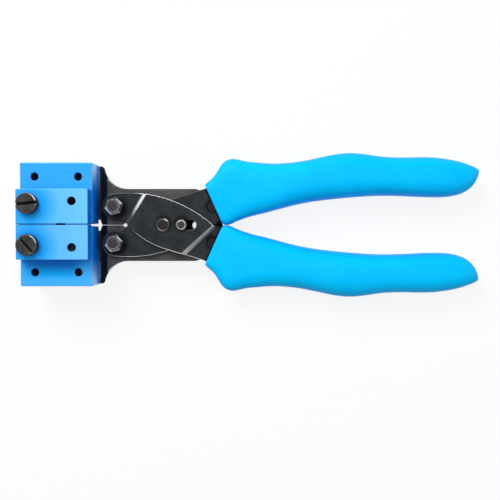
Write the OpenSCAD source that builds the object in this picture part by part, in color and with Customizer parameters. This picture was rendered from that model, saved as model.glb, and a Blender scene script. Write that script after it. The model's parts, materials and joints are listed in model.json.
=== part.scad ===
// Parallel-action crimping tool for eight-way modular plugs, shown closed.
// Sizes are in millimetres and start at the centre rivet: +X runs to the grips, +Y is the
// way the upper jaw opens and +Z is the front. seat() lays the finished tool on its back.

/* [Die blocks] */
// Width of each die block along the tool
block_w = 35; // [33:0.5:45]
// Height of each die block from the parting line
block_h = 30; // [29:0.5:40]
// Depth of each die block behind the middle of the jaws
block_back = 10.5; // [10.3:0.1:14]
// Depth of each die block in front of the middle of the jaws
block_front = 16; // [14:0.5:24]
// Relief of each die block at the parting line
block_relief = 0.7; // [0.2:0.1:1]
// Height of each front plate from the parting line
face_h = 16.8; // [15.5:0.1:19]
// Width of each front plate along the tool
face_w = 34.2; // [33:0.1:35]
// Thickness of each front plate
face_t = 8; // [5:0.5:12]
// Gap between the closed front plates
parting_gap = 0.1; // [0.1:0.05:0.6]
// Width of the sight notch across the parting line
sight_w = 4; // [2:0.5:6]
// Height of the sight notch above and below the parting line
sight_h = 0.45; // [0.4:0.05:1]
// Depth of the sight notch behind the front faces
sight_depth = 3; // [1:0.5:4.5]
// Diameter of the mounting holes through each die block
mount_hole_d = 4; // [3:0.5:4.5]
// Spacing of the mounting holes along the tool
mount_hole_pitch = 21.1; // [20:0.1:24]
// Distance of the mounting holes from the parting line
mount_hole_y = 23.2; // [22:0.1:24.5]

/* [Plug nest and punches] */
// Distance of the plug space from the middle of the block, towards the jaws
plug_x = 4.3; // [3.5:0.1:5]
// Width of the plug space
plug_w = 11.9; // [11.7:0.1:12.6]
// Depth of the plug space below the parting line
plug_h = 7; // [6.5:0.1:8]
// Width of the channel for the plug's latch
latch_w = 6.6; // [6:0.1:8]
// Depth of the latch channel below the parting line
latch_h = 10.5; // [9:0.1:11]
// Wall around the plug space
nest_wall = 2; // [1.2:0.1:2.4]
// Spacing of the contact blades
blade_pitch = 1.02; // [0.9:0.01:1.27]
// Thickness of each contact blade
blade_t = 0.5; // [0.3:0.05:0.7]
// Reach of the punches past the parting line
punch_reach = 0.9; // [0.4:0.1:1.2]
// Height of the punch bodies above the parting line
punch_h = 9.5; // [7:0.5:14]

/* [Jaws] */
// Thickness of the jaw plates
jaw_t = 6; // [5:0.5:8]
// Gap between the closed jaws near the die blocks
jaw_gap = 0.2; // [0.1:0.05:0.9]
// Distance of the jaw bolts from the centre rivet along the tool
bolt_reach = 24.4; // [23.5:0.1:27]
// Distance of the jaw bolts from the centre line
bolt_rise = 9.2; // [8.8:0.1:9.8]
// Distance from the jaw bolts to the die blocks
block_reach = 8.9; // [8.2:0.1:12]
// Height of the jaw flange against the die block
flange_h = 29.9; // [28:0.1:31]
// Width of the jaw flange at its narrowest
flange_w = 1.9; // [1.7:0.1:3]
// Height of the jaw neck behind the flange
neck_h = 18.2; // [17.4:0.1:18.5]
// Radius from the flange into the neck
fillet_r = 13; // [11:0.5:15]
// Depth of the sunk band along the front of the flange
band_depth = 3.5; // [0.5:0.1:4]
// Width of the sunk band along the flange
band_w = 4.4; // [2:0.1:5]
// Bevel of the flange along the die block
flange_bevel = 0.8; // [0.3:0.1:1.2]
// Length of the jaw tongue inside the die block
tongue_len = 24.2; // [23:0.1:27]
// Lower edge of the jaw tongue from the parting line
tongue_low = 18; // [17.2:0.1:18.5]
// Upper edge of the jaw tongue from the parting line
tongue_high = 27.6; // [27:0.1:28.5]

/* [Levers] */
// Thickness of the lever plates
lever_t = 3; // [2:0.1:3.2]
// Gap between plates that slide on each other
side_gap = 0.1; // [0.05:0.05:0.2]
// Angle through which the handles open
opening_angle = 22; // [10:1:24]
// Radius of the lever ends about the jaw bolts
lever_end_r = 6.4; // [5.5:0.1:6.6]
// Distance of the front bend from the centre rivet
front_bend = 15.1; // [14.8:0.1:16]
// Distance of the rear bend behind the crotch of the levers
rear_bend_room = 0.15; // [0.1:0.05:1]
// Length of each bend along the lever
bend_run = 1.6; // [1.4:0.1:2.2]

/* [Grips] */
// Thickness of the grips
grip_t = 21; // [19:0.5:26]
// Length of the grips behind the guide pins
grip_len = 134.7; // [125:0.1:160]
// Clearance between the grips and the lever plates
grip_gap = 0.1; // [0.05:0.05:0.3]

/* [Fasteners] */
// Diameter of the jaw bolts
bolt_d = 5; // [4:0.5:6]
// Width of the hex nuts and bolt heads across flats
nut_af = 8; // [7:0.5:10]
// Thickness of the hex nuts without their collars
nut_t = 3.8; // [3:0.1:5]
// Height of the nuts' locking collars
nut_collar_h = 1.4; // [0.5:0.1:2]
// Wall of the nuts' locking collars
nut_collar_w = 0.8; // [0.5:0.1:1]
// Width of the chamfer on the nuts and bolt heads
nut_chamfer = 0.6; // [0.1:0.1:0.8]
// Thickness of the bolt heads
bolt_head_t = 3.5; // [2.5:0.1:4]
// Depth of the bolt ends inside the locking collars
bolt_sunk = 0.3; // [0:0.1:1]
// Diameter of the centre rivet
rivet_d = 6; // [5:0.1:6.2]
// Diameter of the centre rivet's heads
rivet_head_d = 6.8; // [6.5:0.1:8]
// Thickness of the centre rivet's heads
rivet_head_t = 0.9; // [0.5:0.1:1]
// Diameter of the stop pin
stop_pin_d = 4.6; // [4:0.1:4.8]
// Diameter of the stop pin's head
stop_head_d = 5.4; // [5.2:0.1:6.4]
// Thickness of the stop pin's head
stop_head_t = 0.8; // [0.4:0.1:1.2]
// Distance of the stop pin from the centre rivet
stop_reach = 9; // [8.5:0.1:9.6]
// Length of the slot beside the stop pin, between its end centres
stop_slot = 5; // [4.8:0.1:6]
// Diameter of the guide pins
guide_pin_d = 5; // [4:0.5:5]
// Diameter of the rivets inside the grips
shank_rivet_d = 4; // [3:0.5:5]
// Distance of the clamp screws from the middle of the block, away from the jaws
clamp_x = 11.1; // [9:0.1:11.5]
// Distance of the clamp screws from the parting line
clamp_y = 9.75; // [8:0.05:10.5]
// Diameter of the clamp screws
clamp_d = 6; // [5:0.5:6]
// Diameter of the clamp screw heads
clamp_head_d = 10; // [9:0.5:11]
// Thickness of the clamp screw heads
clamp_head_t = 3.9; // [3:0.1:5]
// Width of the slot in the clamp screw heads
clamp_slot_w = 1.4; // [1:0.1:2]
// Depth of the slot in the clamp screw heads
clamp_slot_h = 1.7; // [1:0.1:2.2]
// Length of the clamp screws below their heads
clamp_len = 18; // [14:0.5:20]
// Distance of the locating dowels from the middle of the block, towards the jaws
dowel_x = 9.4; // [8:0.1:12]
// Distance of the locating dowels from the parting line
dowel_y = 11; // [9:0.1:13]
// Diameter of the locating dowels
dowel_d = 4; // [3:0.5:5]
// Depth of the dowels in the die blocks
dowel_in = 6; // [4:0.5:6]
// Depth of the dowels below the front faces
dowel_sunk = 4; // [1:0.5:5]
// Diameter of the screws that hold the jaw tongues
die_screw_d = 4; // [3:0.5:4]
// Diameter of the tongue screw heads
die_head_d = 7; // [6:0.5:7]
// Thickness of the tongue screw heads
die_head_t = 4; // [3:0.5:4.5]
// Clearance of parts that are pressed or screwed together
snug = 0.02; // [0.01:0.005:0.04]
// Radial clearance of the turning joints
run_fit = 0.04; // [0.02:0.01:0.08]

/* [Hidden] */
far = 200;
side_steps = 24;

// Heights of the plate stack from the middle of the jaws
jaw_z = jaw_t / 2;
plate_in = jaw_z + side_gap;
plate_out = plate_in + lever_t;
bend_rise = lever_t + side_gap;
raised_in = plate_out + side_gap;
raised_out = raised_in + lever_t;
face_z = block_front + face_t;
floor_z = max(block_back, grip_t / 2);

// Pivots
jaw_bolt = [-bolt_reach, bolt_rise];
guide_pin = [bolt_reach, bolt_rise];
pivot_r = norm(jaw_bolt);
pivot_angle = atan2(bolt_rise, bolt_reach);
guide_travel = 2 * pivot_r * (cos(pivot_angle) - cos(pivot_angle + opening_angle / 2));
guide_end_play = 0.3;

// Die block places
block_right = -bolt_reach - block_reach;
block_left = block_right - block_w;
block_mid = block_right - block_w / 2;
clamp_at = [block_mid - clamp_x, clamp_y];
dowel_at = [block_mid + dowel_x, dowel_y];
mount_holes = [for (side = [-1, 1]) [block_mid + side * mount_hole_pitch / 2, mount_hole_y]];
die_screw_pitch = 7.6;
die_screw_edge = 3.1;
die_screws = [for (i = [0, 1])
    [block_right - tongue_len + die_screw_edge + i * die_screw_pitch, mount_hole_y]];
die_screw_len = 15;
die_head_sunk = 0.5;
hole_room = 0.4;
hole_end_room = 1;
// Notch of each block beside the cut corner of its jaw
block_notch = 3.2;
block_notch_rise = -1;

// Plug nest places
nest_mid = block_mid + plug_x;
nest_cover = 1;
nest_front = block_front - dowel_in - nest_cover;
nest_w = plug_w + 2 * nest_wall;
nest_h = latch_h + nest_wall;
blades = 8;
punch_side_gap = 0.45;
punch_w = plug_w - 2 * punch_side_gap;
punch_gap = 3;
contact_len = 7.8;
strain_len = 5.4;
punch_end_gap = 0.2;
punch_front = nest_front - nest_wall - punch_end_gap;
punch_pocket_len = contact_len + punch_gap + strain_len;
blade_len = 4;

// Slot, window and sight hole at the stop pin
stop_slot_gap = 0.15;
stop_window_gap = 0.3;
stop_slot_r = stop_pin_d / 2 + stop_slot_gap;
stop_window_r = stop_pin_d / 2 + stop_window_gap;
view_hole_r = 1.9;
view_hole_shift = 1.3;

// Jaw outline
fillet_at = [block_right + flange_w + fillet_r, neck_h + fillet_r];
flange_round = min(1.8, flange_w - 0.1);
flange_turn = asin(max(0, (fillet_at.y - flange_h + flange_round) / fillet_r));
flange_round_at = [fillet_at.x - fillet_r * cos(flange_turn), flange_h] - [1, 1] * flange_round;
neck_end = guide_pin + [-8.8, neck_h - bolt_rise];
neck_slope = [5, -1.5];
tail_wall = 2.2;
tail_r = guide_pin_d / 2 + tail_wall;
tail_at = guide_pin + [guide_end_play, 0];
tail_start = 55;
jaw_room = 1.1;
toe_heel = guide_pin + [1.2, 1.7 - bolt_rise];
toe_corner = guide_pin + [4.2, 1.1 - bolt_rise];
toe_gap = 0.06;
toe_reach = 5;
toe_lead = 1.5;
corner_run = 1.2;
corner_rise = 2.8;
relief_x = jaw_bolt.x + 2.6;
relief_y = 0.9;
relief_lead = 0.9;
notch_y = 3.7;
notch_lead = 1.6;
notch_room = 0.65;
notch_right = stop_reach + stop_slot + stop_slot_r + notch_room;

// Lever outline: an arc over the crown, an arc under the belly, then the shank in the grip.
// Shank rows are distance behind the guide pins, height and half width.
crown_at = jaw_bolt + [6.7, -57.4];
crown_r = norm(jaw_bolt - crown_at) + lever_end_r;
crown_start = atan2(jaw_bolt.y - crown_at.y, jaw_bolt.x - crown_at.x);
crotch_y = -0.3;
crown_end = asin((crotch_y - crown_at.y) / crown_r);
crotch = crown_at + polar(crown_r, crown_end);
lever_end_turn = 290;
belly_at = [13.4, 28.1];
belly_r = 42;
belly_start = 253;
belly_end = 221;
mouth_inner = [bolt_reach + 4.2, -1];
mouth_outer = [bolt_reach - 3.4, -18.2];
shank = [[15.6, -14.2, 9.4], [35.6, -19.8, 5.5], [67.6, -25.2, 5], [99.6, -24.6, 5]];
shank_end = shank[len(shank) - 1];
shank_end_turn = 80;
front_bend_turn = 148;
rear_bend_turn = -48;
rear_bend = flip(crotch) * polar(1, rear_bend_turn) + rear_bend_room;
// The bends are half sheared, so their inner faces step down a little further out
bend_shift = 0.3;

// Upper grip rows from the mouth to the tip: outer edge, inner edge, fullness and squareness.
// Edges are distance behind the guide pins and height above the centre line.
grip_rows = [
    [-4, 20.4, 5.1, 0.1, 0.84, 6],
    [0.3, 23.9, 7.6, 0.15, 0.87, 5.5],
    [2.7, 27.6, 9.7, 0.8, 0.9, 5],
    [4.6, 30.7, 11.6, 1.7, 0.93, 4.6],
    [7.2, 32.8, 13.8, 2.55, 0.95, 4.2],
    [11, 33.4, 17, 3.7, 0.97, 3.8],
    [16.4, 32.1, 21.6, 5, 0.99, 3.4],
    [22.5, 31.6, 27, 6.2, 1, 3.1],
    [32.1, 31, 36.1, 8.7, 1, 2.8],
    [46.6, 32.5, 48.6, 11.6, 1, 2.6],
    [67, 36.8, 67.6, 13.8, 1, 2.6],
    [83.5, 34.7, 83.1, 14.8, 0.99, 2.6],
    [95.6, 34.1, 94.6, 14.7, 0.97, 2.6],
    [109.6, 34.4, 107.6, 14.1, 0.95, 2.6],
    [122.1, 32.7, 119.1, 14.2, 0.9, 2.5],
    [129, 30.6, 127.4, 16.5, 0.76, 2.4],
    [133, 29.1, 132.2, 20.9, 0.48, 2.2],
    [134.7, 28.1, 134.5, 26, 0.15, 2]
];
grip_last = len(grip_rows) - 1;
grip_stretch = grip_len - grip_rows[grip_last][0];
grip_tail = 70;
grip_steps = 3;
grip_sides = 28;

centre_x = (block_left + bolt_reach + grip_len) / 2;

$fn = 48;

function polar(r, angle) = r * [cos(angle), sin(angle)];
function arc(at, r, from, to, steps) =
    [for (i = [0 : steps]) at + polar(r, from + (to - from) * i / steps)];
function flip(p) = [p.x, -p.y];

// Outline of the lever whose grip is the lower one, grown by a clearance
function lever_points(grow = 0) = concat(
    arc(jaw_bolt, lever_end_r + grow, lever_end_turn, crown_start, side_steps),
    arc(crown_at, crown_r + grow, crown_start, crown_end, side_steps),
    [mouth_inner + [0, grow]],
    [for (row = shank) [bolt_reach + row[0], row[1] + row[2] + grow]],
    arc(shank_rivet_at(len(shank) - 1), shank_end[2] + grow, shank_end_turn, -shank_end_turn,
        side_steps / 2),
    [for (i = [len(shank) - 1 : -1 : 0])
        [bolt_reach + shank[i][0], shank[i][1] - shank[i][2] - grow]],
    [mouth_outer - [0, grow]],
    arc(belly_at, belly_r + grow, belly_start, belly_end, side_steps)
);
function spacer_points() = concat(
    [for (row = shank) [bolt_reach + row[0], row[1] + row[2]]],
    arc(shank_rivet_at(len(shank) - 1), shank_end[2], shank_end_turn, -shank_end_turn, side_steps / 2),
    [for (i = [len(shank) - 1 : -1 : 0]) [bolt_reach + shank[i][0], shank[i][1] - shank[i][2]]]
);
function shank_rivet_at(i) = [bolt_reach + shank[i][0], shank[i][1]];

// Outline of the upper jaw
function jaw_points() = concat(
    [[block_right - tongue_len, tongue_low], [block_right - tongue_len, tongue_high]],
    [[block_right, tongue_high], [block_right, flange_h]],
    arc(flange_round_at, flange_round, 90, 0, side_steps / 2),
    arc(fillet_at, fillet_r, 180 + flange_turn, 270, side_steps),
    [neck_end, neck_end + neck_slope],
    arc(tail_at, tail_r, tail_start, -90, side_steps),
    [toe_heel, toe_corner, [guide_pin.x + toe_reach, toe_gap / 2]],
    [[notch_right + toe_lead, toe_gap / 2]],
    [[notch_right, notch_y], [-notch_y, notch_y], [-notch_y - notch_lead, relief_y]],
    [[relief_x + relief_lead, relief_y], [relief_x, jaw_gap / 2]],
    [[block_right + corner_run, jaw_gap / 2], [block_right, corner_rise]],
    [[block_right, tongue_low]]
);

// Room in the mouth of the upper grip for the shoulder of the open jaw
function jaw_room_points() = [
    for (p = [[-6, 0], [-6, jaw_room], [-1.2, jaw_room], [1.4, 0]])
        [bolt_reach + p.x, neck_h + p.y]
];

// Room in the mouth of the upper grip for the toe of the opening jaw
function toe_room_points() = [
    for (p = [[-0.4, -2.1], [3, -2.1], [3, -0.95], [2.2, -0.4], [0.6, 0.4], [-0.4, 0.7]])
        toe_corner + p
];

// Window that lets the stop pin swing through the upper front plate
function stop_window_points() = concat(
    arc([0, 0], stop_reach + stop_window_r, 0, -opening_angle, side_steps / 2),
    arc(polar(stop_reach, -opening_angle), stop_window_r, -opening_angle, -opening_angle - 180,
        side_steps / 2),
    arc([0, 0], stop_reach - stop_window_r, -opening_angle, 0, side_steps / 2),
    arc([stop_reach, 0], stop_window_r, 180, 0, side_steps / 2)
);

// Smooth curve through four neighbouring rows
function blend(a, b, c, d, t) = (
    2 * b + (c - a) * t + (2 * a - 5 * b + 4 * c - d) * t * t
    + (3 * b - a - 3 * c + d) * t * t * t
) / 2;
function grip_row(i) = grip_rows[max(0, min(grip_last, i))];
function grip_at(i, t) = blend(grip_row(i - 1), grip_row(i), grip_row(i + 1), grip_row(i + 2), t);
function sign_power(x, p) = sign(x) * pow(abs(x), p);
function grip_shift(x) = bolt_reach + x + grip_stretch * max(0, min(1, x / grip_tail));
function grip_ring(row) = [
    for (k = [0 : grip_sides - 1])
        let (
            angle = 360 * k / grip_sides,
            across = sign_power(cos(angle), 2 / row[5]),
            up = sign_power(sin(angle), 2 / row[5]),
            outer = [grip_shift(row[0]), row[1]],
            inner = [grip_shift(row[2]), row[3]],
            flat = (outer + inner) / 2 + (outer - inner) / 2 * across
        )
        [flat.x, flat.y, grip_t / 2 * row[4] * up]
];

module seat() {
    translate([-centre_x, 0, floor_z])
        children();
}

module drill(at, r) {
    translate([at.x, at.y, -far])
        cylinder(h = 2 * far, r = r);
}

module slot_cut(from, to, r) {
    drill(from, r);
    drill(to, r);
    translate([from.x, from.y - r, -far])
        cube([to.x - from.x, 2 * r, 2 * far]);
}

module box_between(low, high) {
    translate(low)
        cube(high - low);
}

// Space below a plate surface that steps down past both bends
module below_surface(top, shift) {
    intersection() {
        below_bend(front_bend_turn, front_bend + shift, top);
        below_bend(rear_bend_turn, rear_bend + shift, top);
    }
}

module below_bend(turn, reach, top) {
    rotate([90, 0, turn])
        translate([0, 0, -far])
            linear_extrude(2 * far)
                polygon([
                    [-far, -1], [-far, top], [reach, top],
                    [reach + bend_run, top - bend_rise], [far, top - bend_rise], [far, -1]
                ]);
}

// Bores of one lever in the place of the lower handle; the pivot turns or is fixed
module lever_bores(pivot_fit) {
    drill([0, 0], rivet_d / 2 + pivot_fit);
    drill(jaw_bolt, bolt_d / 2 + snug);
    drill(flip(guide_pin), guide_pin_d / 2 + snug);
    for (i = [1 : len(shank) - 1])
        drill(shank_rivet_at(i), shank_rivet_d / 2 + snug);
}

module bent_plate(pivot_fit) {
    difference() {
        intersection() {
            linear_extrude(raised_out)
                polygon(lever_points());
            below_surface(raised_out, 0);
        }
        below_surface(raised_in, bend_shift);
        lever_bores(pivot_fit);
        slot_cut([stop_reach, 0], [stop_reach + stop_slot, 0], stop_slot_r);
    }
}

module flat_plate(pivot_fit) {
    difference() {
        translate([0, 0, plate_in])
            linear_extrude(lever_t)
                polygon(lever_points());
        lever_bores(pivot_fit);
    }
}

module lower_front_plate() {
    color("#2b2e30")
        seat()
            bent_plate(snug);
}

module lower_back_plate() {
    color("#2b2e30")
        seat()
            mirror([0, 0, 1])
                difference() {
                    flat_plate(snug);
                    drill([stop_reach, 0], stop_pin_d / 2 + snug);
                    drill([stop_reach + stop_slot + view_hole_shift, 0], view_hole_r);
                }
}

module upper_front_plate() {
    color("#2f3235")
        seat()
            difference() {
                mirror([0, 1, 0])
                    flat_plate(run_fit);
                slot_cut([stop_reach, 0], [stop_reach + stop_slot, 0], stop_slot_r);
                linear_extrude(raised_in)
                    polygon(stop_window_points());
            }
}

module upper_back_plate() {
    color("#2f3235")
        seat()
            rotate([180, 0, 0])
                bent_plate(run_fit);
}

module spacer() {
    difference() {
        translate([0, 0, -plate_in])
            linear_extrude(2 * plate_in)
                polygon(spacer_points());
        for (i = [1 : len(shank) - 1])
            drill(shank_rivet_at(i), shank_rivet_d / 2 + snug);
    }
}

module lower_spacer() {
    color("#4a4d50")
        seat()
            spacer();
}

module upper_spacer() {
    color("#4a4d50")
        seat()
            mirror([0, 1, 0])
                spacer();
}

module shank_rivets() {
    for (i = [1 : len(shank) - 1])
        translate(concat(shank_rivet_at(i), -plate_out))
            cylinder(h = 2 * plate_out, d = shank_rivet_d);
}

module lower_shank_rivets() {
    color("#6a6a68")
        seat()
            shank_rivets();
}

module upper_shank_rivets() {
    color("#6a6a68")
        seat()
            mirror([0, 1, 0])
                shank_rivets();
}

module grip_skin() {
    rings = grip_last * grip_steps + 1;
    points = [
        for (s = [0 : rings - 1])
            each grip_ring(grip_at(floor(s / grip_steps), (s % grip_steps) / grip_steps))
    ];
    sides = [
        for (s = [0 : rings - 2], k = [0 : grip_sides - 1])
            let (
                a = s * grip_sides + k,
                b = s * grip_sides + (k + 1) % grip_sides
            )
            each [[a, b, b + grip_sides], [a, b + grip_sides, a + grip_sides]]
    ];
    mouth = [for (k = [grip_sides - 1 : -1 : 0]) k];
    tip = [for (k = [0 : grip_sides - 1]) (rings - 1) * grip_sides + k];
    polyhedron(points, concat(sides, [mouth, tip]));
}

module grip() {
    pocket_z = plate_out + grip_gap;
    difference() {
        grip_skin();
        mirror([0, 1, 0])
            translate([0, 0, -pocket_z])
                linear_extrude(2 * pocket_z)
                    polygon(lever_points(grip_gap));
        translate([0, 0, -plate_in])
            linear_extrude(2 * plate_in) {
                polygon(jaw_room_points());
                polygon(toe_room_points());
            }
    }
}

module upper_grip() {
    color("#10a8f5")
        seat()
            grip();
}

module lower_grip() {
    color("#10a8f5")
        seat()
            mirror([0, 1, 0])
                grip();
}

module rivet_head(d, t) {
    cylinder(h = t / 3, d = d);
    translate([0, 0, t / 3])
        cylinder(h = 2 * t / 3, d1 = d, d2 = d - 2 * t);
}

module pivot_rivet() {
    back = raised_out + side_gap;
    color("#7d7168")
        seat() {
            translate([0, 0, -back])
                cylinder(h = back + raised_out, d = rivet_d);
            translate([0, 0, raised_out])
                rivet_head(rivet_head_d, rivet_head_t);
            translate([0, 0, -back])
                mirror([0, 0, 1])
                    rivet_head(rivet_head_d, rivet_head_t);
        }
}

module stop_pin() {
    color("#8a8681")
        seat()
            translate([stop_reach, 0, 0]) {
                translate([0, 0, -plate_out])
                    cylinder(h = plate_out + raised_out, d = stop_pin_d);
                translate([0, 0, raised_out])
                    rivet_head(stop_head_d, stop_head_t);
            }
}

// Hexagon with its front corners turned off
module hex(t) {
    corner_r = nut_af / 2 - nut_chamfer;
    intersection() {
        cylinder(h = t, d = nut_af / cos(30), $fn = 6);
        cylinder(h = t, r1 = corner_r + t / tan(30), r2 = corner_r);
    }
}

module jaw_bolt_piece() {
    tip = 0.5;
    body = 2 * plate_out + nut_t + nut_collar_h - bolt_sunk - tip;
    translate([jaw_bolt.x, jaw_bolt.y, -plate_out]) {
        cylinder(h = body, d = bolt_d);
        translate([0, 0, body])
            cylinder(h = tip, d1 = bolt_d, d2 = bolt_d - 2 * tip);
        mirror([0, 0, 1])
            hex(bolt_head_t);
    }
}

// Hex nut with a round locking collar
module jaw_nut(turn) {
    collar_r = min(bolt_d / 2 + nut_collar_w, nut_af / 2 - nut_chamfer);
    translate([jaw_bolt.x, jaw_bolt.y, plate_out])
        rotate([0, 0, turn])
            difference() {
                union() {
                    hex(nut_t);
                    cylinder(h = nut_t + nut_collar_h, r = collar_r);
                }
                translate([0, 0, -1])
                    cylinder(h = far, r = bolt_d / 2 + snug);
            }
}

module upper_jaw_bolt() {
    color("#4c4a48")
        seat()
            jaw_bolt_piece();
}

module lower_jaw_bolt() {
    color("#4c4a48")
        seat()
            mirror([0, 1, 0])
                jaw_bolt_piece();
}

module upper_jaw_nut() {
    color("#3c3d3f")
        seat()
            jaw_nut(16);
}

module lower_jaw_nut() {
    color("#3c3d3f")
        seat()
            mirror([0, 1, 0])
                jaw_nut(48);
}

module guide_pin_piece() {
    translate([guide_pin.x, guide_pin.y, -plate_out])
        cylinder(h = 2 * plate_out, d = guide_pin_d);
}

module upper_guide_pin() {
    color("#5a5855")
        seat()
            guide_pin_piece();
}

module lower_guide_pin() {
    color("#5a5855")
        seat()
            mirror([0, 1, 0])
                guide_pin_piece();
}

module jaw() {
    slot_r = guide_pin_d / 2 + run_fit;
    difference() {
        translate([0, 0, -jaw_z])
            linear_extrude(jaw_t)
                polygon(jaw_points());
        drill(jaw_bolt, bolt_d / 2 + run_fit);
        slot_cut(guide_pin - [guide_travel + guide_end_play, 0], guide_pin + [guide_end_play, 0],
            slot_r);
        for (at = mount_holes)
            drill(at, mount_hole_d / 2 + hole_room);
        for (at = die_screws)
            drill(at, die_screw_d / 2 + snug);
        translate([block_right, 0, jaw_z - band_depth])
            cube([band_w, far, far]);
        flange_bevel_cut();
    }
}

// Bevel at the foot of the die block's wall
module flange_bevel_cut() {
    face = jaw_z - band_depth;
    rotate([-90, 0, 0])
        linear_extrude(far)
            polygon([
                [block_right, -face - 1],
                [block_right, -face + flange_bevel],
                [block_right + flange_bevel, -face],
                [block_right + flange_bevel, -face - 1]
            ]);
}

module upper_jaw() {
    color("#4b4748")
        seat()
            jaw();
}

module lower_jaw() {
    color("#4b4748")
        seat()
            mirror([0, 1, 0])
                jaw();
}

// Die block without its pocket, in the place of the upper one
module block_blank() {
    difference() {
        box_between([block_left, block_relief, -block_back], [block_right, block_h, block_front]);
        box_between(
            [block_right - block_notch, -1, -block_back - 1],
            [block_right + 1, corner_rise, jaw_z + block_notch_rise]
        );
        box_between(
            [block_right - tongue_len - snug, tongue_low - snug, -jaw_z - snug],
            [block_right + 1, tongue_high + snug, jaw_z + snug]
        );
        for (at = mount_holes)
            drill(at, mount_hole_d / 2);
        translate([clamp_at.x, clamp_at.y, face_z - clamp_len - hole_end_room])
            cylinder(h = far, r = clamp_d / 2 + snug);
        translate([dowel_at.x, dowel_at.y, block_front - dowel_in])
            cylinder(h = far, r = dowel_d / 2 + snug);
        for (at = die_screws) {
            translate([at.x, at.y, die_head_z()])
                cylinder(h = die_screw_len + hole_end_room, r = die_screw_d / 2 + snug);
            translate([at.x, at.y, die_head_z() - far])
                cylinder(h = far, r = die_head_d / 2 + snug);
        }
    }
}

function die_head_z() = die_head_t + die_head_sunk - block_back;

module upper_die_block() {
    color("#4aa3ee")
        seat()
            difference() {
                block_blank();
                punch_box(snug);
            }
}

module lower_die_block() {
    color("#4aa3ee")
        seat()
            mirror([0, 1, 0])
                difference() {
                    block_blank();
                    nest_box(snug);
                }
}

module face_plate() {
    difference() {
        box_between(
            [block_mid - face_w / 2, parting_gap / 2, block_front],
            [block_mid + face_w / 2, face_h, face_z]
        );
        drill(clamp_at, clamp_d / 2 + snug);
        drill(dowel_at, dowel_d / 2 + snug);
        box_between(
            [nest_mid - sight_w / 2, -1, face_z - sight_depth],
            [nest_mid + sight_w / 2, sight_h, face_z + 1]
        );
    }
}

module upper_face_plate() {
    color("#4aa3ee")
        seat()
            face_plate();
}

module lower_face_plate() {
    color("#4aa3ee")
        seat()
            mirror([0, 1, 0])
                face_plate();
}

module clamp_screw(turn) {
    edge = 0.4;
    translate([clamp_at.x, clamp_at.y, face_z]) {
        mirror([0, 0, 1])
            cylinder(h = clamp_len, d = clamp_d);
        difference() {
            union() {
                cylinder(h = clamp_head_t - edge, d = clamp_head_d);
                translate([0, 0, clamp_head_t - edge])
                    cylinder(h = edge, d1 = clamp_head_d, d2 = clamp_head_d - 2 * edge);
            }
            rotate([0, 0, turn])
                translate([-clamp_head_d, -clamp_slot_w / 2, clamp_head_t - clamp_slot_h])
                    cube([2 * clamp_head_d, clamp_slot_w, far]);
        }
    }
}

module upper_clamp_screw() {
    color("#4b463f")
        seat()
            clamp_screw(5);
}

module lower_clamp_screw() {
    color("#4b463f")
        seat()
            mirror([0, 1, 0])
                clamp_screw(48);
}

module dowel() {
    translate([dowel_at.x, dowel_at.y, block_front - dowel_in])
        cylinder(h = dowel_in + face_t - dowel_sunk, d = dowel_d);
}

module upper_dowel() {
    color("#9a9a9a")
        seat()
            dowel();
}

module lower_dowel() {
    color("#9a9a9a")
        seat()
            mirror([0, 1, 0])
                dowel();
}

module die_screw_pair() {
    socket_d = 3;
    socket_h = 2;
    for (at = die_screws)
        translate([at.x, at.y, die_head_z()]) {
            cylinder(h = die_screw_len, d = die_screw_d);
            mirror([0, 0, 1])
                difference() {
                    cylinder(h = die_head_t, d = die_head_d);
                    translate([0, 0, die_head_t - socket_h])
                        cylinder(h = far, d = socket_d / cos(30), $fn = 6);
                }
        }
}

module upper_die_screws() {
    color("#3a3a3a")
        seat()
            die_screw_pair();
}

module lower_die_screws() {
    color("#3a3a3a")
        seat()
            mirror([0, 1, 0])
                die_screw_pair();
}

// Pocket of the punches in the upper block, open at the parting line
module punch_box(grow) {
    box_between(
        [nest_mid - punch_w / 2 - grow, -1, punch_front - punch_pocket_len - grow],
        [nest_mid + punch_w / 2 + grow, punch_h + grow, punch_front + grow]
    );
}

module contact_punch() {
    color("#8f9296")
        seat() {
            box_between(
                [nest_mid - punch_w / 2, block_relief, punch_front - contact_len],
                [nest_mid + punch_w / 2, punch_h, punch_front]
            );
            for (i = [0 : blades - 1])
                translate([nest_mid + (i - (blades - 1) / 2) * blade_pitch - blade_t / 2, 0, 0])
                    box_between(
                        [0, -punch_reach, punch_front - contact_len / 2 - blade_len / 2],
                        [blade_t, block_relief, punch_front - contact_len / 2 + blade_len / 2]
                    );
        }
}

module strain_punch() {
    back = punch_front - punch_pocket_len;
    nose = 2;
    color("#8f9296")
        seat() {
            box_between(
                [nest_mid - punch_w / 2, block_relief, back],
                [nest_mid + punch_w / 2, punch_h, back + strain_len]
            );
            box_between(
                [nest_mid - latch_w / 2, -punch_reach, back + strain_len / 2 - nose / 2],
                [nest_mid + latch_w / 2, block_relief, back + strain_len / 2 + nose / 2]
            );
        }
}

// Outside of the plug nest, in the place of the upper block
module nest_box(grow) {
    box_between(
        [nest_mid - nest_w / 2 - grow, block_relief - (grow > 0 ? 1 : 0), -block_back - grow],
        [nest_mid + nest_w / 2 + grow, nest_h + grow, nest_front + grow]
    );
}

module plug_nest() {
    color("#7b7e82")
        seat()
            mirror([0, 1, 0])
                difference() {
                    nest_box(0);
                    box_between(
                        [nest_mid - plug_w / 2, -1, -block_back - 1],
                        [nest_mid + plug_w / 2, plug_h, nest_front - nest_wall]
                    );
                    box_between(
                        [nest_mid - latch_w / 2, -1, -block_back - 1],
                        [nest_mid + latch_w / 2, latch_h, nest_front - nest_wall]
                    );
                }
}

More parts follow.
